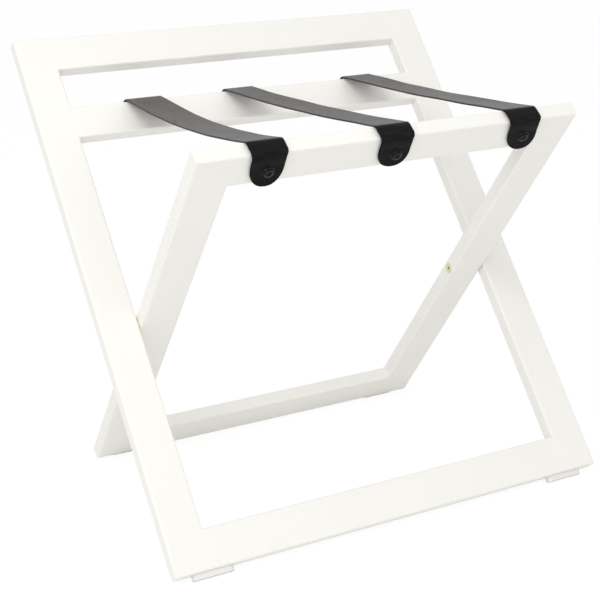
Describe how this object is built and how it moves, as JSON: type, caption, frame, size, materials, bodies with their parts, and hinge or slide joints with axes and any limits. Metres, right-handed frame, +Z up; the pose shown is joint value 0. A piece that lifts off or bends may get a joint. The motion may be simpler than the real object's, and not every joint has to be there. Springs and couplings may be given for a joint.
{
  "type": "folding luggage bench",
  "caption": "Folding wooden luggage bench: two crossing frames on side pivots, joined at the top by leather straps, with a raised back frame.",
  "frame": {"origin": "middle of the footprint on the floor, where the four glides stand", "axes": "+X along the rails, to the right seen from the front; +Y to the back, where the raised frame leans; +Z up"},
  "size_m": [0.6, 0.4626, 0.5692],
  "materials": {
    "lacquered_wood": "warm white opaque lacquer, satin",
    "strap_leather": "black smooth bridle leather, satin",
    "black_screws": "black oxide, satin",
    "pivot_brass": "pale brass-plated steel, satin",
    "glide_plastic": "off-white nylon, matt"
  },
  "bodies": {
    "outer_frame": {"outer_left_stile": "lacquered_wood", "outer_right_stile": "lacquered_wood", "outer_top_rail": "lacquered_wood", "strap_rail": "lacquered_wood", "outer_bottom_rail": "lacquered_wood", "outer_left_glide": "glide_plastic", "outer_right_glide": "glide_plastic", "pivot_screws": "pivot_brass", "pivot_washers": "pivot_brass", "pivot_inserts": "pivot_brass", "strap_back_screws": "black_screws", "strap_back_cups": "black_screws", "strap_left": "strap_leather", "strap_middle": "strap_leather", "strap_right": "strap_leather"},
    "inner_frame": {"inner_left_stile": "lacquered_wood", "inner_right_stile": "lacquered_wood", "inner_top_rail": "lacquered_wood", "inner_bottom_rail": "lacquered_wood", "inner_left_glide": "glide_plastic", "inner_right_glide": "glide_plastic", "strap_front_screws": "black_screws", "strap_front_cups": "black_screws"}
  },
  "joints": [
    {"name": "fold", "type": "hinge", "parent": "outer_frame", "child": "inner_frame", "pos_m": [0, -0.02945, 0.24785], "axis": [-1, 0, 0], "range_deg": [0, 72], "deforming": ["strap_left", "strap_middle", "strap_right"]}
  ]
}
